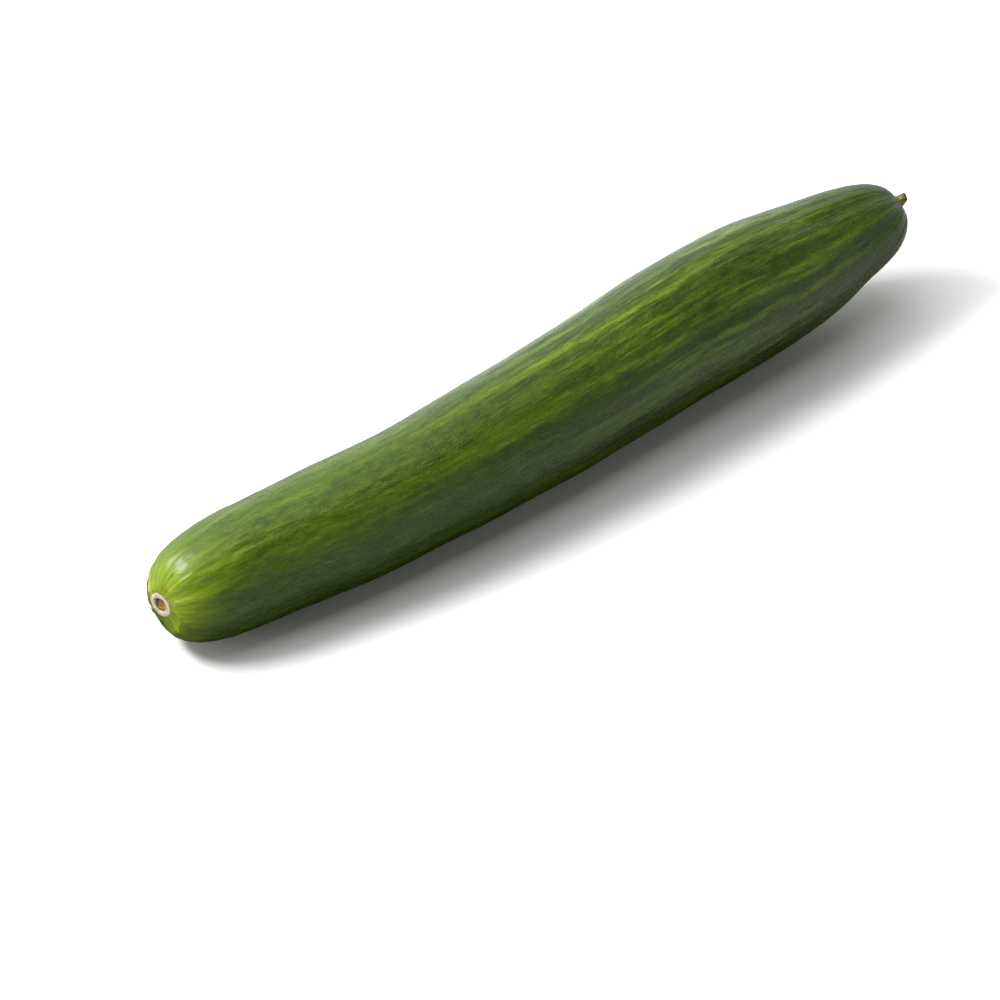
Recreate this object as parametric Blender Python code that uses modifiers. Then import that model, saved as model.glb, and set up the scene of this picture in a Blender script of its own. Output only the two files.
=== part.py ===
"""A long greenhouse cucumber lying on a table: the whole fruit, and the cut stub of its stalk."""

import math

import bmesh
import bpy
from mathutils import Matrix, Vector

# Driving dimensions, in metres. A place along the fruit is measured on its middle line, from
# the blossom end (0) to the stem end (FRUIT_LENGTH). +X runs towards the stem end.
FRUIT_LENGTH = 0.3266
RADIUS_AT_BLOSSOM = 0.0198  # the body widens evenly from this ...
RADIUS_AT_STEM = 0.0264  # ... towards this, which the neck never lets it reach
NOSE_LENGTH = 0.053  # the blossom end rounds off late, to a blunt tip
NOSE_TAPER_POWER = 3.9
NOSE_TIP_POWER = 2.94
NECK_LENGTH = 0.096  # the stem end narrows over a longer stretch
NECK_TAPER_POWER = 1.8
NECK_TIP_POWER = 2.73
CONTACT_DEPTH = 0.0003  # how much of the underside its own weight flattens

# The middle line snakes gently in plan. Its heading is a cubic of the place along the fruit,
# from -1 at the blossom end to +1 at the stem end, in radians.
HEADING = (0.0824, 0.1402, -0.2474, -0.2426)
NOSE_LIFT, NOSE_LIFT_LENGTH = 0.0010, 0.030  # both ends rise a little off the table
NECK_LIFT, NECK_LIFT_LENGTH = 0.0101, 0.060

# The stub of the stalk is five-sided and was cut at a slant.
STUB_LENGTH = 0.0048
STUB_BASE_RADIUS = 0.0024
STUB_TIP_RADIUS = 0.0016
STUB_SIDES = 5
STUB_FURROW = 0.84  # how far in the furrows between the five ribs lie
STUB_SLANT = 0.25  # rise of the cut across the stub
STUB_EDGE = 0.0002
JOIN_GAP = 0.0003  # between the fruit's end and the stub

STEPS_AROUND = 44
RINGS = 60
GUIDE_POINTS = 120


def body_radius_at(along):
    """Radius of the evenly widening body, before its ends are rounded."""
    return RADIUS_AT_BLOSSOM + (RADIUS_AT_STEM - RADIUS_AT_BLOSSOM) * along / FRUIT_LENGTH


def radius_at(along):
    """Radius of the fruit at a place along it: the body with a nose and a neck."""
    to_nose = max(1 - along / NOSE_LENGTH, 0)
    to_tip = max(1 - (FRUIT_LENGTH - along) / NECK_LENGTH, 0)
    nose = (1 - to_nose**NOSE_TAPER_POWER) ** (1 / NOSE_TIP_POWER)
    neck = (1 - to_tip**NECK_TAPER_POWER) ** (1 / NECK_TIP_POWER)
    return body_radius_at(along) * nose * neck


def height_at(along):
    """Height of the middle line: the underside lies level, apart from the raised ends."""
    near_nose = max(1 - along / NOSE_LIFT_LENGTH, 0)
    near_tip = max(1 - (FRUIT_LENGTH - along) / NECK_LIFT_LENGTH, 0)
    lift = NOSE_LIFT * near_nose**2 + NECK_LIFT * near_tip**2
    return body_radius_at(along) - CONTACT_DEPTH + lift


def heading_at(along):
    place = 2 * along / FRUIT_LENGTH - 1
    return sum(term * place**power for power, term in enumerate(HEADING))


def middle_line(length, count):
    """Points of the middle line, from its heading in plan and its height."""
    step = length / (count - 1)
    here = Vector((-FRUIT_LENGTH / 2, 0, 0))
    points = []
    for index in range(count):
        along = index * step
        points.append(Vector((here.x, here.y, height_at(along))))
        heading = heading_at(along + step / 2)
        here += Vector((math.cos(heading), math.sin(heading), 0)) * step
    return points


def material(name, colour, roughness):
    made = bpy.data.materials.new(name)
    made.use_nodes = True
    shader = made.node_tree.nodes["Principled BSDF"]
    shader.inputs["Base Color"].default_value = (*colour, 1)
    shader.inputs["Roughness"].default_value = roughness
    shader.inputs["Metallic"].default_value = 0
    made.diffuse_color = (*colour, 1)
    return made


def add_object(name, data, collection, parent):
    made = bpy.data.objects.new(name, data)
    made.parent = parent
    collection.objects.link(made)
    return made


def make_guide(collection, parent):
    """The middle line as a curve, carried on through the stub."""
    points = middle_line(FRUIT_LENGTH + JOIN_GAP + STUB_LENGTH, GUIDE_POINTS)
    curve = bpy.data.curves.new("middle_line", "CURVE")
    curve.dimensions = "3D"
    curve.twist_mode = "Z_UP"
    spline = curve.splines.new("POLY")
    spline.points.add(len(points) - 1)
    for point, place in zip(spline.points, points):
        point.co = (*place, 1)
    guide = add_object("middle_line", curve, collection, parent)
    guide.hide_render = True
    return guide


def make_table_cutter(collection, parent):
    """Everything below the table's surface, which presses the underside flat."""
    mesh = bpy.data.meshes.new("table_cutter")
    shape = bmesh.new()
    bmesh.ops.create_cube(shape, size=1)
    bmesh.ops.scale(shape, vec=(2 * FRUIT_LENGTH, FRUIT_LENGTH, FRUIT_LENGTH), verts=shape.verts)
    bmesh.ops.translate(shape, vec=(0, 0, -FRUIT_LENGTH / 2), verts=shape.verts)
    shape.to_mesh(mesh)
    shape.free()
    cutter = add_object("table_cutter", mesh, collection, parent)
    cutter.hide_render = True
    cutter.display_type = "WIRE"
    return cutter


def bend_along(piece, guide):
    bend = piece.modifiers.new("bend", "CURVE")
    bend.object = guide
    bend.deform_axis = "POS_X"


def make_fruit(collection, parent, guide, table):
    """The fruit's outline turned about its middle line, bent and pressed on the table."""
    mesh = bpy.data.meshes.new("fruit")
    shape = bmesh.new()
    outline = []
    for ring in range(RINGS + 1):
        # The rings crowd together at the two ends, where the outline turns fastest.
        along = FRUIT_LENGTH * (1 - math.cos(math.pi * ring / RINGS)) / 2
        outline.append(shape.verts.new((along, 0, radius_at(along))))
    for near, far in zip(outline, outline[1:]):
        shape.edges.new((near, far))
    shape.to_mesh(mesh)
    shape.free()
    fruit = add_object("fruit", mesh, collection, parent)
    turn = fruit.modifiers.new("turn", "SCREW")
    turn.axis = "X"
    turn.steps = turn.render_steps = STEPS_AROUND
    turn.use_merge_vertices = True
    turn.merge_threshold = 1e-6
    turn.use_smooth_shade = True
    bend_along(fruit, guide)
    rest = fruit.modifiers.new("rest_on_table", "BOOLEAN")
    rest.operation = "DIFFERENCE"
    rest.solver = "EXACT"
    rest.object = table
    mesh.materials.append(material("cucumber_skin", (0.055, 0.155, 0.018), 0.32))
    return fruit


def make_stub(collection, parent, guide):
    """A short ribbed cone with a slanted end, standing on the fruit's stem end."""
    mesh = bpy.data.meshes.new("stem_stub")
    shape = bmesh.new()
    bmesh.ops.create_cone(
        shape,
        cap_ends=True,
        segments=2 * STUB_SIDES,
        radius1=STUB_BASE_RADIUS,
        radius2=STUB_TIP_RADIUS,
        depth=STUB_LENGTH,
    )
    for vertex in shape.verts:
        corner = math.atan2(vertex.co.y, vertex.co.x) * STUB_SIDES / math.pi
        if round(corner) % 2:
            vertex.co.xy *= STUB_FURROW
        if vertex.co.z > 0:
            vertex.co.z += STUB_SLANT * vertex.co.x
    bmesh.ops.transform(
        shape, matrix=Matrix.Rotation(math.pi / 2, 4, "Y"), verts=shape.verts
    )
    middle = FRUIT_LENGTH + JOIN_GAP + STUB_LENGTH / 2
    bmesh.ops.translate(shape, vec=(middle, 0, 0), verts=shape.verts)
    shape.to_mesh(mesh)
    shape.free()
    mesh.shade_smooth()
    mesh.set_sharp_from_angle(angle=math.radians(30))
    stub = add_object("stem_stub", mesh, collection, parent)
    edge = stub.modifiers.new("worn_edge", "BEVEL")
    edge.width = STUB_EDGE
    edge.segments = 2
    bend_along(stub, guide)
    mesh.materials.append(material("stalk", (0.20, 0.19, 0.05), 0.6))
    return stub


def stand_on_origin(origin, pieces):
    """Moves everything so that the middle of the box's underside is the frame's origin."""
    bpy.context.view_layer.update()
    graph = bpy.context.evaluated_depsgraph_get()
    corners = [
        piece.matrix_world @ Vector(corner)
        for piece in pieces
        for corner in piece.evaluated_get(graph).bound_box
    ]
    for axis in (0, 1):
        places = [corner[axis] for corner in corners]
        origin.location[axis] = -(min(places) + max(places)) / 2


for old in list(bpy.data.objects):
    bpy.data.objects.remove(old)
parts = bpy.data.collections.new("cucumber")
helpers = bpy.data.collections.new("guides_and_cutters")
for group in (parts, helpers):
    bpy.context.scene.collection.children.link(group)

frame_origin = bpy.data.objects.new("frame_origin", None)
parts.objects.link(frame_origin)
middle = make_guide(helpers, frame_origin)
table_top = make_table_cutter(helpers, frame_origin)
fruit_body = make_fruit(parts, frame_origin, middle, table_top)
stem_stub = make_stub(parts, frame_origin, middle)
stand_on_origin(frame_origin, (fruit_body, stem_stub))
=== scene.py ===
"""A long greenhouse cucumber lying on a pale table, under soft studio light."""

import bisect
import math

import bmesh
import bpy
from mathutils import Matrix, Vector, noise


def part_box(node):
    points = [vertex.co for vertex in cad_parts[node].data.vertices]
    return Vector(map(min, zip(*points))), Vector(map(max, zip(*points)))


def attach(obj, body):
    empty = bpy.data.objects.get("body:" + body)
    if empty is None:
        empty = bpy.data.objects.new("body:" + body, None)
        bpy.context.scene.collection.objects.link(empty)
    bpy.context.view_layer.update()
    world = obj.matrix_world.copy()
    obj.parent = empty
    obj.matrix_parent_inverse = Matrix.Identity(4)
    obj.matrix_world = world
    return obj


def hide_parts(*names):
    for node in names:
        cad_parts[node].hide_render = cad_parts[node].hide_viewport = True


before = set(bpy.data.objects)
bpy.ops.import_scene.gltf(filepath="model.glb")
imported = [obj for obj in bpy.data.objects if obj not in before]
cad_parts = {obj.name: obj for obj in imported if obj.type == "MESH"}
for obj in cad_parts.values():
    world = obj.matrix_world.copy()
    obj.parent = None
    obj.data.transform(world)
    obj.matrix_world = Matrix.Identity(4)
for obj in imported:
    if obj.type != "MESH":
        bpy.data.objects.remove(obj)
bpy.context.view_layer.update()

# ---------------------------------------------------------------------------------------
# The fruit. It grew as one long berry: a smooth body that widens towards the stem end, a
# blunt nose with the corky scar where the blossom fell off, and a ribbed, tapering neck.
# ---------------------------------------------------------------------------------------
FRUIT_LENGTH = 0.3278  # along the middle line, from the blossom end to the stem end
BODY_RADIUS = (0.0198, 0.0264)  # at the blossom end and at the stem end
NOSE_LENGTH, NOSE_TAPER, NOSE_TIP = 0.053, 4.0, 3.06
NECK_LENGTH, NECK_TAPER, NECK_TIP = 0.096, 1.7, 2.88
HEADING = (0.0824, 0.1402, -0.2474, -0.2426)  # radians, a cubic of the place from -1 to 1
NOSE_LIFT, NECK_LIFT = (0.0002, 0.030), (0.0122, 0.070)  # how high and over what length
NOSE_SWAY, SWAY_PLACE, SWAY_LENGTH = 0.0009, 0.042, 0.030
CONTACT_DEPTH = 0.0003  # how much of the underside its own weight flattens
STUB_ROOM = 0.0051  # the middle line runs on this far, through the stub

STEPS_AROUND = 216
WIDEST_RING_GAP = 0.00088
POLE_RING_GAP = 0.00018  # the rings stand closest at the two ends, and spread from there
GAP_GROWTH = 0.045
GRAIN_RADIUS = 0.0225  # the skin's grain lies as on a tube of this radius
DISC_REACH = 0.0075  # how far over the skin the flat pattern's disc for each end reaches

# Two soft hollows at the neck and a swelling at the nose: where along the skin, how wide, how
# deep or high, and on which side, in radians round the fruit from +Y over the top.
TUCK_PLACE, TUCK_WIDTH, TUCK_DEPTH, TUCK_SIDE = 0.033, 0.012, 0.0018, -2.3
SLOPE_PLACE, SLOPE_WIDTH, SLOPE_DEPTH, SLOPE_SIDE = 0.038, 0.020, 0.0008, 0.8
CHIN_PLACE, CHIN_WIDTH, CHIN_HEIGHT, CHIN_SIDE = 0.012, 0.0065, 0.0005, -2.2
SCAR_RADIUS = 0.0043
PIT_RADIUS = 0.0026


def ease(low, high, value):
    """0 below low, 1 above high, and a smooth rise between them."""
    share = min(max((value - low) / (high - low), 0), 1)
    return share * share * (3 - 2 * share)


def swelling(place, middle, width):
    """1 at the middle, fading to nothing about two widths off on both sides."""
    return math.exp(-(((place - middle) / width) ** 2))


def body_radius_at(along):
    return BODY_RADIUS[0] + (BODY_RADIUS[1] - BODY_RADIUS[0]) * along / FRUIT_LENGTH


def radius_at(along):
    to_nose = max(1 - along / NOSE_LENGTH, 0)
    to_tip = max(1 - (FRUIT_LENGTH - along) / NECK_LENGTH, 0)
    nose = max(1 - to_nose**NOSE_TAPER, 0) ** (1 / NOSE_TIP)
    neck = max(1 - to_tip**NECK_TAPER, 0) ** (1 / NECK_TIP)
    return body_radius_at(along) * nose * neck


def height_at(along):
    near_nose = max(1 - along / NOSE_LIFT[1], 0)
    near_tip = max(1 - (FRUIT_LENGTH - along) / NECK_LIFT[1], 0)
    lift = NOSE_LIFT[0] * near_nose**2 + NECK_LIFT[0] * near_tip**3
    return body_radius_at(along) - CONTACT_DEPTH + lift


def middle_line(step=0.0005):
    """The middle line in short steps, each with its distance from the blossom end."""
    here = Vector((-FRUIT_LENGTH / 2, 0, 0))
    line = [(0.0, here + Vector((0, 0, height_at(0))))]
    for index in range(int((FRUIT_LENGTH + STUB_ROOM) / step) + 4):
        turned = 2 * (index + 0.5) * step / FRUIT_LENGTH - 1
        heading = sum(term * turned**power for power, term in enumerate(HEADING))
        here += Vector((math.cos(heading), math.sin(heading), 0)) * step
        sway = NOSE_SWAY * swelling(index * step, SWAY_PLACE, SWAY_LENGTH)
        place = here + Vector((0, sway, height_at((index + 1) * step)))
        line.append((line[-1][0] + (place - line[-1][1]).length, place))
    return line


MIDDLE_LINE = middle_line()
DISTANCES = [distance for distance, _ in MIDDLE_LINE]


def bend(straight):
    """Carries a point of the straight fruit, which lies along +X, onto the grown one."""
    index = min(max(bisect.bisect(DISTANCES, straight.x) - 1, 1), len(MIDDLE_LINE) - 3)
    before, near, far, after = (place for _, place in MIDDLE_LINE[index - 1 : index + 3])
    share = (straight.x - DISTANCES[index]) / (DISTANCES[index + 1] - DISTANCES[index])
    along = (far - before).lerp(after - near, share).normalized()
    side = Vector((0, 0, 1)).cross(along).normalized()
    up = along.cross(side)
    return near.lerp(far, share) + side * straight.y + up * straight.z


def outline_rings():
    """(place along, radius, distance over the skin) of each ring, closer at both ends."""
    fine = [FRUIT_LENGTH * (1 - math.cos(math.pi * k / 6000)) / 2 for k in range(6001)]
    skin = [0.0]
    for near, far in zip(fine, fine[1:]):
        skin.append(skin[-1] + math.hypot(far - near, radius_at(far) - radius_at(near)))
    whole = skin[-1]
    rings, wanted = [(0.0, 0.0, 0.0)], POLE_RING_GAP
    for along, distance in zip(fine, skin):
        if distance < wanted or distance > whole - POLE_RING_GAP:
            continue
        rings.append((along, radius_at(along), distance))
        from_pole = min(distance, whole - distance)
        wanted = distance + min(WIDEST_RING_GAP, POLE_RING_GAP + GAP_GROWTH * from_pole)
    return rings + [(FRUIT_LENGTH, 0.0, whole)], whole


RINGS, SKIN_LENGTH = outline_rings()


def turned_fruit():
    """The outline spun about the middle line, still straight."""
    shape = bmesh.new()
    outline = [shape.verts.new((along, 0, radius)) for along, radius, _ in RINGS]
    edges = [shape.edges.new(pair) for pair in zip(outline, outline[1:])]
    bmesh.ops.spin(
        shape,
        geom=outline + edges,
        cent=(0, 0, 0),
        axis=(1, 0, 0),
        angle=2 * math.pi,
        steps=STEPS_AROUND,
        use_merge=True,
    )
    bmesh.ops.remove_doubles(shape, verts=shape.verts, dist=1e-6)
    bmesh.ops.recalc_face_normals(shape, faces=shape.faces)
    return shape


def patch(place, size, seed):
    """Smooth unevenness, -1 to 1, whose patches measure size in each direction."""
    return noise.noise(Vector([part / width for part, width in zip(place, size)]) + seed)


def body_relief(grain, straight):
    """How far the skin of the body stands out at one place, in metres."""
    from_nose, from_stem = grain.z, SKIN_LENGTH - grain.z
    to_nose = 1 - ease(0.03, 0.09, from_nose)
    to_neck = 1 - ease(0.03, 0.15, from_stem)
    around = math.atan2(straight.z, straight.y)
    lobes = 0.00028 * math.cos(3 * around + 0.9 + 7 * straight.x)
    swell = 0.00055 * patch(straight, (0.03, 0.03, 0.03), Vector((3.1, 7.7, 1.3)))
    ribs = patch(grain, (0.0050, 0.0050, 0.075), Vector((0, 0, 5)))
    creases = patch(grain, (0.0022, 0.0022, 0.030), Vector((9, 0, 0)))
    wrinkles = patch(grain, (0.0019, 0.0019, 0.0085), Vector((0, 4, 0)))
    dimples = patch(grain, (0.0027, 0.0027, 0.0034), Vector((5, 0, 6)))
    tuck = TUCK_DEPTH * swelling(from_stem, TUCK_PLACE, TUCK_WIDTH)
    slope = SLOPE_DEPTH * swelling(from_stem, SLOPE_PLACE, SLOPE_WIDTH)
    return (
        lobes
        + swell
        + ribs * (0.00014 + 0.00038 * to_neck)
        + creases * (0.00008 + 0.00021 * to_neck)
        + wrinkles * (0.00007 + 0.00014 * to_nose)
        + dimples * (0.00004 + 0.00016 * to_nose)
        - tuck * max(math.cos(around - TUCK_SIDE), 0)
        - slope * max(math.cos(around - SLOPE_SIDE), 0)
    )


def scar_relief(grain, straight):
    """The corky ring and the pit where the blossom sat, and the puckers drawn in to them."""
    around = math.atan2(straight.z, straight.y)
    wobble = 1 + 0.05 * math.sin(3 * around + 1) + 0.03 * math.sin(7 * around)
    reach = grain.z / wobble
    cork = patch(straight, (0.0007, 0.0007, 0.0007), Vector((2, 2, 2)))
    ring = ease(SCAR_RADIUS + 0.0004, SCAR_RADIUS - 0.0004, reach)
    pit = ease(PIT_RADIUS + 0.0003, PIT_RADIUS - 0.0009, reach)
    core = ease(0.0010, 0.0003, reach)
    groove = swelling(reach, SCAR_RADIUS + 0.0005, 0.0004)
    folds = math.cos(13 * around + 2 * math.sin(2 * around))
    pucker = ease(SCAR_RADIUS, 0.0065, reach) * ease(0.020, 0.007, reach)
    chin = CHIN_HEIGHT * swelling(reach, CHIN_PLACE, CHIN_WIDTH)
    return (
        ring * (0.00010 + 0.00008 * cork)
        - pit * (0.00065 + 0.00012 * cork)
        + core * 0.00030
        - groove * 0.00009
        + pucker * folds * 0.00007
        + chin * max(math.cos(around - CHIN_SIDE), 0)
    )


def fruit_mesh():
    """The turned fruit with its relief, bent. Each point keeps its place on the skin."""
    shape = turned_fruit()
    grain_layer = shape.verts.layers.float_vector.new("grain")
    distance_at = {round(along, 7): distance for along, _, distance in RINGS}
    shape.normal_update()
    for vertex in shape.verts:
        straight = vertex.co.copy()
        distance = distance_at.get(round(straight.x, 7))
        if distance is None:
            distance = min(RINGS, key=lambda ring: abs(ring[0] - straight.x))[2]
        around = math.atan2(straight.z, straight.y)
        across = (GRAIN_RADIUS * math.cos(around), GRAIN_RADIUS * math.sin(around))
        grain = Vector((*across, distance))
        vertex[grain_layer] = grain
        off_ends = ease(SCAR_RADIUS, 0.014, distance) * ease(0.002, 0.012, SKIN_LENGTH - distance)
        out = body_relief(grain, straight) * off_ends + scar_relief(grain, straight)
        vertex.co = bend(straight + vertex.normal * out)
        vertex.co.z = max(vertex.co.z, 0)
    return shape


def flatten_skin(shape):
    """The flat pattern of the skin: one long sheet slit underneath, and a disc for each end."""
    grain_layer = shape.verts.layers.float_vector["grain"]
    pattern = shape.loops.layers.uv.new("OFBake")
    for face in shape.faces:
        corners = [corner.vert[grain_layer] for corner in face.loops]
        middle = sum(corners, Vector()) / len(corners)
        middle_turn = math.atan2(middle.x, middle.y) / (2 * math.pi)
        for corner in face.loops:
            grain = corner.vert[grain_layer]
            turn = math.atan2(grain.x, grain.y) / (2 * math.pi)
            turn += round(middle_turn - turn)
            angle = 2 * math.pi * turn
            if middle.z < DISC_REACH:
                disc_middle, reach = 0.11, grain.z
            elif SKIN_LENGTH - middle.z < DISC_REACH:
                disc_middle, reach = 0.33, SKIN_LENGTH - grain.z
            else:
                share = (grain.z - DISC_REACH) / (SKIN_LENGTH - 2 * DISC_REACH)
                corner[pattern].uv = (0.5 + 0.99 * turn, 0.005 + 0.775 * share)
                continue
            out = 0.094 * reach / DISC_REACH
            corner[pattern].uv = (disc_middle + out * math.sin(angle), 0.89 + out * math.cos(angle))


fruit_shape = fruit_mesh()
flatten_skin(fruit_shape)
solid_low, solid_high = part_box("fruit")
lengthwise = [vertex.co.x for vertex in fruit_shape.verts]
widthwise = [vertex.co.y for vertex in fruit_shape.verts]
LAID = Vector((solid_low[0] - min(lengthwise), 0, 0))
LAID.y = (solid_low[1] + solid_high[1] - min(widthwise) - max(widthwise)) / 2
bmesh.ops.translate(fruit_shape, vec=LAID, verts=fruit_shape.verts)
fruit_data = bpy.data.meshes.new("cucumber_fruit")
fruit_shape.to_mesh(fruit_data)
fruit_shape.free()
fruit_data.shade_smooth()
fruit = bpy.data.objects.new("cucumber_fruit", fruit_data)
bpy.context.collection.objects.link(fruit)


def node(tree, kind, inputs, **settings):
    """Adds a node. An input is given its value, or the output that feeds it."""
    made = tree.nodes.new("ShaderNode" + kind)
    for name, value in settings.items():
        setattr(made, name, value)
    for name, value in inputs.items():
        if isinstance(value, bpy.types.NodeSocket):
            tree.links.new(value, made.inputs[name])
        else:
            made.inputs[name].default_value = value
    return made


def patches(tree, place, size, seed, detail=3.0, roughness=0.55, distortion=0.0):
    """Noise, 0 to 1, whose patches measure size in each direction."""
    scale = [1 / width for width in size]
    laid = node(tree, "Mapping", {"Vector": place, "Scale": scale, "Location": (seed, 0, seed)})
    grown = {
        "Vector": laid.outputs[0],
        "Scale": 1.0,
        "Detail": detail,
        "Roughness": roughness,
        "Distortion": distortion,
    }
    return node(tree, "TexNoise", grown).outputs[0]


def grade(tree, value, low, high, at_low=0.0, at_high=1.0):
    """Smoothly from at_low, where the value is low, to at_high, where it is high."""
    limits = {"Value": value, "From Min": low, "From Max": high}
    results = {"To Min": at_low, "To Max": at_high}
    made = node(tree, "MapRange", limits | results, interpolation_type="SMOOTHSTEP")
    return made.outputs[0]


def sum_of(tree, first, second):
    return node(tree, "Math", {0: first, 1: second}, operation="ADD").outputs[0]


def product(tree, first, second):
    return node(tree, "Math", {0: first, 1: second}, operation="MULTIPLY").outputs[0]


def blend_colour(tree, share, first, second):
    colours = {0: share, 6: first, 7: second}
    return node(tree, "Mix", colours, data_type="RGBA").outputs[2]


skin = bpy.data.materials.new("cucumber_skin")
skin.use_nodes = True
tree = skin.node_tree
shader = tree.nodes["Principled BSDF"]
grain = node(tree, "Attribute", {}, attribute_name="grain").outputs["Vector"]
place = node(tree, "SeparateXYZ", {"Vector": grain}).outputs
along = place["Z"]

DEEP_GREEN = (0.034, 0.074, 0.0022, 1)
MID_GREEN = (0.070, 0.134, 0.0036, 1)
LEAF_GREEN = (0.112, 0.198, 0.0060, 1)
STREAK_GREEN = (0.230, 0.350, 0.0200, 1)
NOSE_GREEN = (0.300, 0.430, 0.0070, 1)
NOSE_YELLOW = (0.480, 0.500, 0.0900, 1)
PALE_SPECK = (0.300, 0.400, 0.110, 1)

# A slow sideways drift, so that the stripes wander a little as they run.
DRIFT = 0.0034
drift = patches(tree, grain, (0.020, 0.020, 0.034), 3.0, 2.0, 0.5)
drift = sum_of(tree, product(tree, drift, DRIFT), -DRIFT / 2)
sideways = node(tree, "CombineXYZ", {"X": drift, "Y": drift}).outputs[0]
wavy = node(tree, "VectorMath", {0: grain, 1: sideways}, operation="ADD").outputs[0]

# Cloudy dark green, darker towards the stem end, with broad lighter bands along the fruit.
clouds = patches(tree, grain, (0.0040, 0.0040, 0.0080), 1.0, 8.0, 0.72, 0.3)
colour = blend_colour(tree, grade(tree, clouds, 0.30, 0.70), DEEP_GREEN, MID_GREEN)

to_stem = grade(tree, along, 0.08, 0.22)
off_stem = grade(tree, along, SKIN_LENGTH - 0.012, SKIN_LENGTH - 0.070, 0.08, 1.0)
darker = grade(tree, along, 0.04, 0.21, 1.26, 0.83)
colour = node(tree, "HueSaturation", {"Color": colour, "Value": darker}).outputs[0]
bands = patches(tree, wavy, (0.0060, 0.0060, 0.120), 7.0, 8.0, 0.58)
band = product(tree, grade(tree, bands, 0.47, 0.66), grade(tree, to_stem, 0, 1, 0.55, 0.85))
colour = blend_colour(tree, product(tree, band, off_stem), colour, LEAF_GREEN)

# The vessels under the skin show as pale streaks, evenly spaced around the fruit.
VESSELS = 17
VESSEL_WANDER = 6.5
VESSEL_START = -6.3
turned = node(tree, "Math", {0: place["Y"], 1: place["X"]}, operation="ARCTAN2").outputs[0]
wander = patches(tree, grain, (0.011, 0.011, 0.030), 17.0, 3.0, 0.6)
phase = sum_of(tree, product(tree, turned, VESSELS), product(tree, wander, VESSEL_WANDER))
phase = sum_of(tree, phase, VESSEL_START)
ripple = node(tree, "Math", {0: phase}, operation="COSINE").outputs[0]
frayed = patches(tree, wavy, (0.0016, 0.0016, 0.014), 23.0, 4.0, 0.6)
frayed_ripple = sum_of(tree, ripple, grade(tree, frayed, 0.3, 0.7, -0.5, 0.5))
vessel = grade(tree, frayed_ripple, 0.1, 1.3)
strong = patches(tree, grain, (0.0070, 0.0070, 0.100), 29.0, 3.0, 0.55)
vessel = product(tree, vessel, grade(tree, strong, 0.38, 0.62, 0.15, 1.0))
vessel = product(tree, vessel, grade(tree, place["Y"], -0.010, 0.016, 0.32, 0.85))
vessel = product(tree, vessel, grade(tree, to_stem, 0, 1, 0.30, 0.85))
colour = blend_colour(tree, product(tree, vessel, off_stem), colour, STREAK_GREEN)

# Finer pale lines between the streaks, then the fibres and the grit of the waxy skin.
lines = patches(tree, wavy, (0.0022, 0.0022, 0.045), 13.0, 5.0, 0.58)
line = product(tree, grade(tree, lines, 0.55, 0.70), grade(tree, to_stem, 0, 1, 0.25, 0.50))
colour = blend_colour(tree, product(tree, line, off_stem), colour, STREAK_GREEN)

fibres = patches(tree, wavy, (0.0010, 0.0010, 0.0045), 31.0, 4.0, 0.65)
grit = patches(tree, grain, (0.0009, 0.0009, 0.0011), 37.0, 3.0, 0.7)
shade = grade(tree, fibres, 0.25, 0.75, 0.74, 1.26)
shade = product(tree, shade, grade(tree, grit, 0.3, 0.7, 0.88, 1.12))
colour = node(tree, "HueSaturation", {"Color": colour, "Value": shade}).outputs[0]

specks = patches(tree, grain, (0.0007, 0.0007, 0.0008), 39.0, 1.0)
colour = blend_colour(tree, grade(tree, specks, 0.72, 0.80, 0, 0.6), colour, PALE_SPECK)

# The nose is yellow-green round the scar. It runs out into the green in rays and tongues,
# reaching further on the upper side: partly its own colour, partly painted light from above.
rays = patches(tree, grain, (0.0028, 0.0028, 0.025), 41.0, 5.0, 0.6)
tongues = patches(tree, grain, (0.013, 0.013, 0.060), 45.0, 1.0)
reach = sum_of(tree, along, grade(tree, rays, 0.25, 0.75, 0.008, -0.006))
reach = sum_of(tree, reach, grade(tree, tongues, 0.35, 0.65, 0.008, -0.006))
# Painted light: the pale green reaches further on the upper side, where the light falls.
reach = sum_of(tree, reach, grade(tree, place["Y"], -0.003, 0.011, 0.008, -0.004))
pale_nose = grade(tree, reach, 0.033, 0.000)
colour = blend_colour(tree, pale_nose, colour, NOSE_GREEN)
at_scar = product(tree, grade(tree, reach, 0.012, -0.003), 0.7)
colour = blend_colour(tree, at_scar, colour, NOSE_YELLOW)

# An olive collar where the fruit joins the stalk.
COLLAR = (0.200, 0.240, 0.040, 1)
collar = grade(tree, along, SKIN_LENGTH - 0.0050, SKIN_LENGTH - 0.0032)
colour = blend_colour(tree, collar, colour, COLLAR)

# The blossom scar: an olive groove, a ring of pale cork, and a brown pit with gold flecks.
CORK = (0.95, 0.82, 0.69, 1)
CORK_SHADE = (0.70, 0.53, 0.38, 1)
PIT_BROWN = (0.190, 0.085, 0.012, 1)
PIT_GOLD = (0.620, 0.380, 0.110, 1)
GROOVE_OLIVE = (0.24, 0.22, 0.05, 1)
uneven = patches(tree, grain, (0.0050, 0.0050, 0.0050), 51.0, 3.0)
from_pole = product(tree, along, grade(tree, uneven, 0.2, 0.8, 0.95, 1.05))
groove = grade(tree, from_pole, SCAR_RADIUS + 0.0009, SCAR_RADIUS + 0.0001)
colour = blend_colour(tree, product(tree, groove, 0.65), colour, GROOVE_OLIVE)
crumbs = patches(tree, grain, (0.0130, 0.0130, 0.0007), 61.0, 4.0, 0.7)
cork = blend_colour(tree, grade(tree, crumbs, 0.30, 0.60), CORK_SHADE, CORK)
on_scar = grade(tree, from_pole, SCAR_RADIUS + 0.0003, SCAR_RADIUS - 0.0004)
colour = blend_colour(tree, on_scar, colour, cork)
pit_rim = grade(tree, from_pole, PIT_RADIUS - 0.0004, PIT_RADIUS - 0.0009)
flecks = product(tree, grade(tree, crumbs, 0.38, 0.58), pit_rim)
pit = blend_colour(tree, flecks, PIT_BROWN, PIT_GOLD)
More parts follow.
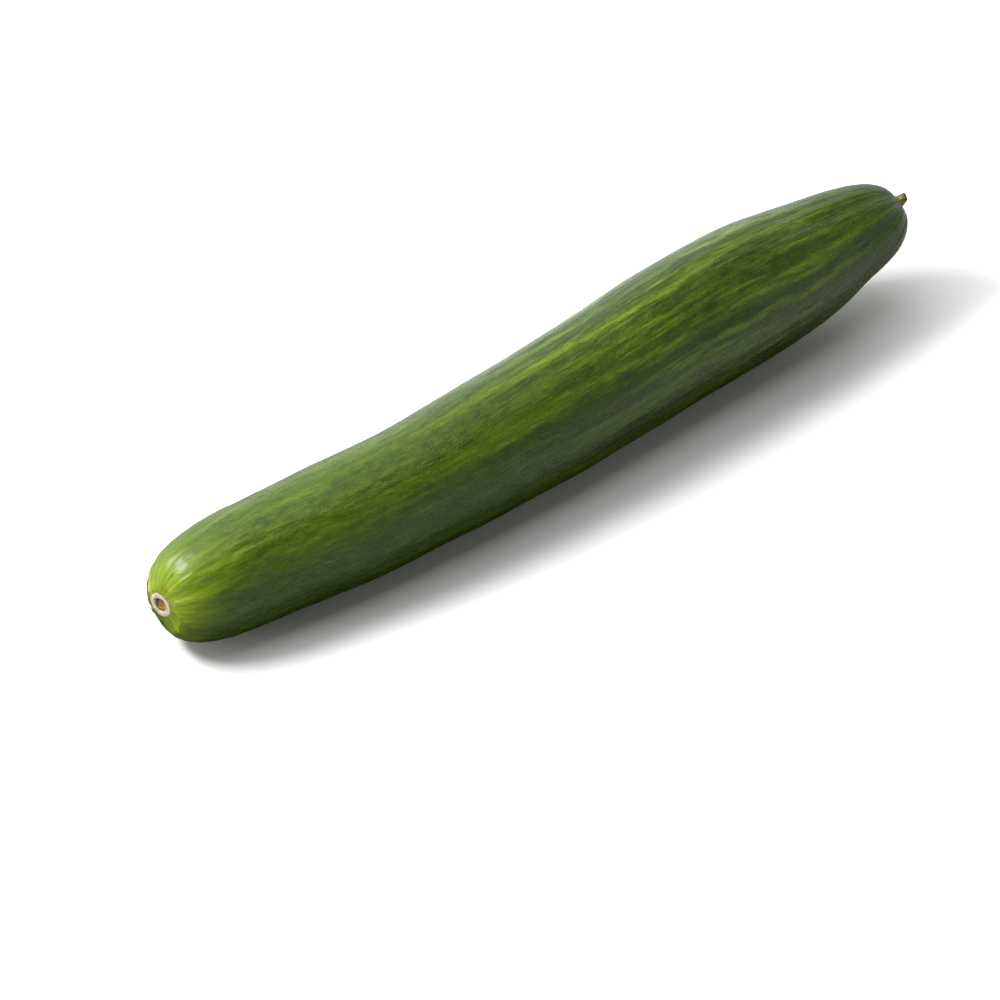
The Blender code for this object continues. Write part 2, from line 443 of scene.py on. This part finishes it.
in_pit = grade(tree, from_pole, PIT_RADIUS + 0.0001, PIT_RADIUS - 0.0004)
colour = blend_colour(tree, in_pit, colour, pit)

tree.links.new(colour, shader.inputs["Base Color"])

# The wax shines unevenly, and the cork hardly at all.
DULL_CORK = 0.85
dull = patches(tree, grain, (0.0040, 0.0040, 0.016), 71.0, 4.0, 0.6)
gloss = grade(tree, dull, 0.25, 0.75, 0.21, 0.33)
gloss = sum_of(tree, gloss, grade(tree, along, 0.02, 0.07, 0.01, 0))
gloss = node(tree, "Mix", {0: on_scar, 2: gloss, 3: DULL_CORK}).outputs[0]
tree.links.new(gloss, shader.inputs["Roughness"])
shader.inputs["IOR"].default_value = 1.45

SKIN_GRAIN_DEPTH = 0.00034
pebbles = patches(tree, grain, (0.0007, 0.0007, 0.0014), 81.0, 2.0, 0.6)
furrows = patches(tree, grain, (0.0013, 0.0013, 0.0065), 91.0, 4.0, 0.6)
threads = patches(tree, grain, (0.0010, 0.0010, 0.030), 101.0, 2.0, 0.5)
height = sum_of(tree, product(tree, pebbles, 0.6), furrows)
height = sum_of(tree, height, product(tree, threads, to_stem))
depth = grade(tree, along, 0.012, 0.055, 0.45, 0.8)
rough_skin = {"Strength": depth, "Distance": SKIN_GRAIN_DEPTH, "Height": height}
bump = node(tree, "Bump", rough_skin)
tree.links.new(bump.outputs[0], shader.inputs["Normal"])
fruit_data.materials.append(skin)
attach(fruit, "root")
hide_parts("fruit")

# ---------------------------------------------------------------------------------------
# The stub of the stalk, left on the fruit when it was cut from the vine: a short, tough,
# five-ribbed column, drying from green to brown, with its slanted cut face turned dark.
# ---------------------------------------------------------------------------------------
STUB_LENGTH = 0.0033
STUB_RADIUS = 0.002
STUB_SLANT = 0.30
STUB_RIBS = 5
STUB_STEPS_AROUND = 90
RIB_HEIGHT, FIBRE_HEIGHT, CUT_ROUGHNESS = 0.00013, 0.00006, 0.00010
STUB_OUTLINE = (  # (place along from the fruit's end, radius)
    (-0.0008, 0.0026),
    (0.0000, 0.00235),
    (0.0004, 0.00213),
    (0.0010, 0.00192),
    (0.0020, 0.00170),
    (0.0026, 0.00156),
    (0.0030, 0.00142),
    (0.0032, 0.00126),
    (0.0033, 0.00106),
    (0.0032, 0.00085),
    (0.0031, 0.00065),
    (0.0032, 0.00040),
)


def stub_mesh():
    """The outline spun and ribbed, its end slanted, set on the fruit's stem end."""
    shape = bmesh.new()
    closed = ((STUB_OUTLINE[0][0], 0), *STUB_OUTLINE, (STUB_OUTLINE[-1][0], 0))
    outline = [shape.verts.new((along, 0, radius)) for along, radius in closed]
    edges = [shape.edges.new(pair) for pair in zip(outline, outline[1:])]
    bmesh.ops.subdivide_edges(shape, edges=edges, cuts=2)
    bmesh.ops.spin(
        shape,
        geom=shape.verts[:] + shape.edges[:],
        cent=(0, 0, 0),
        axis=(1, 0, 0),
        angle=2 * math.pi,
        steps=STUB_STEPS_AROUND,
        use_merge=True,
    )
    bmesh.ops.remove_doubles(shape, verts=shape.verts, dist=1e-6)
    bmesh.ops.recalc_face_normals(shape, faces=shape.faces)
    bmesh.ops.smooth_vert(
        shape, verts=shape.verts, factor=0.5, use_axis_x=True, use_axis_y=True, use_axis_z=True
    )
    grain_layer = shape.verts.layers.float_vector.new("grain")
    for vertex in shape.verts:
        straight = vertex.co.copy()
        vertex[grain_layer] = (straight.y, straight.z, straight.x)
        out = math.hypot(straight.y, straight.z)
        around = math.atan2(straight.z, straight.y)
        share = out / STUB_RADIUS
        ribs = RIB_HEIGHT * math.cos(STUB_RIBS * around + 0.6) * share
        fibre = FIBRE_HEIGHT * patch(straight, (0.0012, 0.00035, 0.00035), Vector((7, 1, 3)))
        grown = max(out + ribs + fibre, 0) / out if out > 1e-6 else 1
        straight.y *= grown
        straight.z *= grown
        straight.x += STUB_SLANT * straight.y * ease(0.0010, STUB_LENGTH, straight.x)
        straight.x += CUT_ROUGHNESS * patch(straight, (0.0006, 0.0006, 0.0006), Vector((1, 1, 8)))
        straight.x += FRUIT_LENGTH
        vertex.co = bend(straight) + LAID
    return shape


stub_shape = stub_mesh()
stub_data = bpy.data.meshes.new("stalk_stub")
stub_shape.to_mesh(stub_data)
stub_shape.free()
stub_data.shade_smooth()
stub = bpy.data.objects.new("stalk_stub", stub_data)
bpy.context.collection.objects.link(stub)

stalk = bpy.data.materials.new("dry_stalk")
stalk.use_nodes = True
tree = stalk.node_tree
shader = tree.nodes["Principled BSDF"]
STALK_GREEN = (0.150, 0.165, 0.022, 1)
STALK_STRAW = (0.420, 0.390, 0.080, 1)
STALK_BROWN = (0.060, 0.034, 0.012, 1)
CUT_BROWN = (0.045, 0.026, 0.012, 1)

# The stub's own grain runs along it, from 0 at the fruit.
grain = node(tree, "Attribute", {}, attribute_name="grain").outputs["Vector"]
along = node(tree, "SeparateXYZ", {"Vector": grain}).outputs["Z"]
strands = patches(tree, grain, (0.0005, 0.0005, 0.0030), 5.0, 4.0, 0.6)
colour = blend_colour(tree, grade(tree, strands, 0.35, 0.65), STALK_GREEN, STALK_STRAW)
blots = patches(tree, grain, (0.0011, 0.0011, 0.0011), 15.0, 4.0, 0.6)
dried = sum_of(tree, blots, product(tree, along, 120))
colour = blend_colour(tree, grade(tree, dried, 0.62, 0.86), colour, STALK_BROWN)
end = patches(tree, grain, (0.0004, 0.0004, 0.0004), 25.0, 3.0)
cut = blend_colour(tree, grade(tree, end, 0.35, 0.65), CUT_BROWN, STALK_BROWN)
colour = blend_colour(tree, grade(tree, along, 0.0028, 0.0031), colour, cut)
tree.links.new(colour, shader.inputs["Base Color"])
shader.inputs["Roughness"].default_value = 0.62
ridges = patches(tree, grain, (0.0003, 0.0003, 0.0020), 35.0, 3.0)
bump = node(tree, "Bump", {"Strength": 0.6, "Distance": 0.00012, "Height": ridges})
tree.links.new(bump.outputs[0], shader.inputs["Normal"])
stub_data.materials.append(stalk)
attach(stub, "root")
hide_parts("stem_stub")

# ---------------------------------------------------------------------------------------
# The table, which isn't part of the object: a wide sheet of pale, matt paper with a painted
# glow, seen only by the camera, that turns it plain white away from the fruit, so that
# nothing but the fruit and its shadow shows.
# ---------------------------------------------------------------------------------------
TABLE_HALF_WIDTH = 12
FADE_FROM, FADE_TO = 0.040, 0.100
table_shape = bmesh.new()
bmesh.ops.create_grid(table_shape, x_segments=1, y_segments=1, size=TABLE_HALF_WIDTH)
table_data = bpy.data.meshes.new("table")
table_shape.to_mesh(table_data)
table_shape.free()
table = bpy.data.objects.new("table", table_data)
bpy.context.collection.objects.link(table)
table_finish = bpy.data.materials.new("pale_table")
table_finish.use_nodes = True
paint = table_finish.node_tree.nodes["Principled BSDF"]
paint.inputs["Roughness"].default_value = 0.9
paint.inputs["Specular IOR Level"].default_value = 0
surface = table_finish.node_tree
rays = node(surface, "LightPath", {}).outputs
seen = rays["Is Camera Ray"]
spot = node(surface, "TexCoord", {}).outputs["Object"]
spot = node(surface, "VectorMath", {0: spot, 1: (0.32, 1, 1)}, operation="MULTIPLY").outputs[0]
away = node(surface, "VectorMath", {0: spot}, operation="LENGTH").outputs["Value"]
# Painted glow: for the camera the table glows white away from the fruit and washes out the outer
# part of its shadow.
painted_glow = grade(surface, away, FADE_FROM, FADE_TO)

# What the skin mirrors of the table is painted: a painted shade close to the fruit, and a
# painted brighter reflection in front of it and towards the neck.
crosswise = node(surface, "SeparateXYZ", {"Vector": spot}).outputs["X"]
shift = grade(surface, crosswise, -0.02, 0.03, -0.03, -0.004)
nearer = node(surface, "CombineXYZ", {"Y": shift}).outputs[0]
nearer = node(surface, "VectorMath", {0: spot, 1: nearer}, operation="ADD").outputs[0]
in_front = node(surface, "VectorMath", {0: nearer}, operation="LENGTH").outputs["Value"]
in_front = product(surface, in_front, grade(surface, crosswise, -0.02, 0.03, 1.0, 1.5))
lit = grade(surface, in_front, 0.045, 0.110)
bright = product(surface, lit, grade(surface, crosswise, -0.05, 0.05, 0.60, 1.0))
painted_mirror_shade = blend_colour(surface, bright, (0.06, 0.06, 0.06, 1), (0.85, 0.85, 0.85, 1))
# Painted shade: to diffuse rays the table is dark grey, so little light comes back up to the
# fruit's underside.
painted_shade_bounce = (0.11, 0.11, 0.11, 1)
unseen = blend_colour(surface, rays["Is Diffuse Ray"], painted_mirror_shade, painted_shade_bounce)
pale = blend_colour(surface, seen, unseen, (0.92, 0.92, 0.92, 1))
surface.links.new(pale, paint.inputs["Base Color"])
surface.links.new(product(surface, painted_glow, seen), paint.inputs["Emission Strength"])
paint.inputs["Emission Color"].default_value = (0.95, 0.95, 0.95, 1)
table_data.materials.append(table_finish)

# ---------------------------------------------------------------------------------------
# The studio's light: a small key light high on the left, behind the fruit, a wide weak panel
# overhead, a pale room all round, and a black card that keeps the near side deep green.
# ---------------------------------------------------------------------------------------
world = bpy.data.worlds.new("studio")
world.use_nodes = True
air = world.node_tree
DIM_ROOM = (0.55, 0.55, 0.53, 1)
BRIGHT_ROOM = (1.00, 1.00, 0.97, 1)
seen_directly = node(air, "LightPath", {}).outputs["Is Camera Ray"]
facing = node(air, "TexCoord", {}).outputs["Generated"]
behind = node(air, "SeparateXYZ", {"Vector": facing}).outputs["Y"]
room = blend_colour(air, grade(air, behind, -0.2, 0.6), DIM_ROOM, BRIGHT_ROOM)
room = blend_colour(air, seen_directly, room, (1, 1, 1, 1))
air.links.new(room, air.nodes["Background"].inputs["Color"])
bpy.context.scene.world = world


def softbox(name, place, aim, size, brightness):
    """A soft light that the camera doesn't see, as bright all over whatever its size."""
    lamp_data = bpy.data.lights.new(name, "AREA")
    lamp_data.shape = "RECTANGLE"
    lamp_data.size, lamp_data.size_y = size
    lamp_data.energy = brightness * size[0] * size[1] * 4
    lamp = bpy.data.objects.new(name, lamp_data)
    lamp.location = place
    lamp.rotation_euler = (Vector(aim) - Vector(place)).to_track_quat("-Z", "Y").to_euler()
    lamp.visible_camera = False
    bpy.context.collection.objects.link(lamp)


softbox("key", (-0.50, 0.33, 0.80), (-0.15, 0, 0), (0.46, 0.46), 21.5)
softbox("overhead", (-0.165, 0.225, 0.80), (-0.165, 0.225, 0), (1.17, 0.99), 0.98)

card_shape = bmesh.new()
bmesh.ops.create_grid(card_shape, x_segments=1, y_segments=1, size=1)
bmesh.ops.scale(card_shape, vec=(1.10, 1.06, 1), verts=card_shape.verts)
bmesh.ops.translate(card_shape, vec=(-0.20, -0.34, 0.81), verts=card_shape.verts)
card_data = bpy.data.meshes.new("black_card")
card_shape.to_mesh(card_data)
card_shape.free()
card = bpy.data.objects.new("black_card", card_data)
card.visible_camera = False
bpy.context.collection.objects.link(card)
card_finish = bpy.data.materials.new("black_cloth")
card_finish.use_nodes = True
cloth = card_finish.node_tree.nodes["Principled BSDF"]
cloth.inputs["Base Color"].default_value = (0.004, 0.004, 0.004, 1)
cloth.inputs["Roughness"].default_value = 1
cloth.inputs["Specular IOR Level"].default_value = 0
card_data.materials.append(card_finish)

# ---------------------------------------------------------------------------------------
# The camera: a long lens, about 37 degrees above the table, in front of the blossom end.
# ---------------------------------------------------------------------------------------
AIM = Vector((-0.0264, -0.0082, 0))
VIEW_TURN, VIEW_RISE, VIEW_DISTANCE = math.radians(-39.57), math.radians(37), 2.0
camera_data = bpy.data.cameras.new("camera")
camera_data.lens, camera_data.sensor_width = 213.1, 36
camera_data.clip_start, camera_data.clip_end = 0.1, 60
camera = bpy.data.objects.new("camera", camera_data)
back = Vector(
    (
        math.sin(VIEW_TURN) * math.cos(VIEW_RISE),
        -math.cos(VIEW_TURN) * math.cos(VIEW_RISE),
        math.sin(VIEW_RISE),
    )
)
camera.location = AIM + back * VIEW_DISTANCE
camera.rotation_euler = (math.pi / 2 - VIEW_RISE, 0, VIEW_TURN)
bpy.context.collection.objects.link(camera)
bpy.context.scene.camera = camera
bpy.context.scene.view_settings.view_transform = "Standard"
